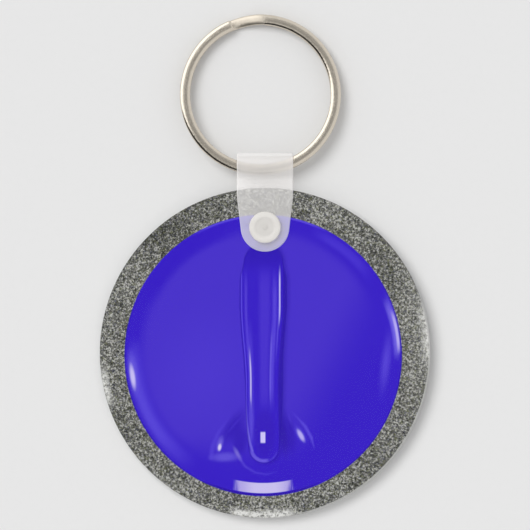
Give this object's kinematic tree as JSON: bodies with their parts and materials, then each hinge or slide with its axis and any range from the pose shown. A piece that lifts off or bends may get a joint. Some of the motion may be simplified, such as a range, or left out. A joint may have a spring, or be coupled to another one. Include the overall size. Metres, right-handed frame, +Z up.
{
  "type": "key ring",
  "caption": "Flat round key ring: a laminated disc printed with a curling stone seen from above, a frosted strap closed by a press stud, and a split ring.",
  "frame": {"origin": "on the table, under the middle of the key ring's bounding box as it lies face up", "axes": "+Y along the key ring from the disc to the split ring, +Z up from the table towards the printed face's side, +X to the right of the printed face"},
  "size_m": [0.0572, 0.0872, 0.0055],
  "materials": {
    "white_plastic": "white sheet plastic with a sawn and polished edge",
    "printed_paper": "printed sheet: speckled grey granite ring round a blue plastic handle disc",
    "back_paper": "plain white printed sheet",
    "clear_film": "clear glossy laminating film",
    "frosted_vinyl": "soft frosted see-through vinyl",
    "snap_plastic": "milky moulded plastic",
    "nickel_plate": "nickel-plated spring steel with fine drawing lines"
  },
  "bodies": {
    "disc": {"disc_core": "white_plastic", "front_print": "printed_paper", "front_film": "clear_film", "back_paper": "back_paper", "back_film": "clear_film"},
    "strap": {"strap_back_leaf": "frosted_vinyl", "back_cap": "snap_plastic", "snap_stud": "snap_plastic"},
    "flap": {"strap_front_leaf": "frosted_vinyl", "front_cap": "snap_plastic", "snap_socket": "snap_plastic"},
    "ring": {"split_ring": "nickel_plate"}
  },
  "joints": [
    {"name": "strap_swivel", "type": "hinge", "parent": "disc", "child": "strap", "pos_m": [0, 0.00674, 0.00277], "axis": [0, -0.0292, 0.9996], "range_deg": [-20, 20]},
    {"name": "snap_open", "type": "hinge", "parent": "strap", "child": "flap", "pos_m": [0, 0.01488, 0.00491], "axis": [-1, 0, 0], "range_deg": [0, 110]},
    {"name": "ring_swing", "type": "hinge", "parent": "strap", "child": "ring", "pos_m": [0, 0.01709, 0.00307], "axis": [1, 0, 0], "range_deg": [-120, 130]}
  ]
}
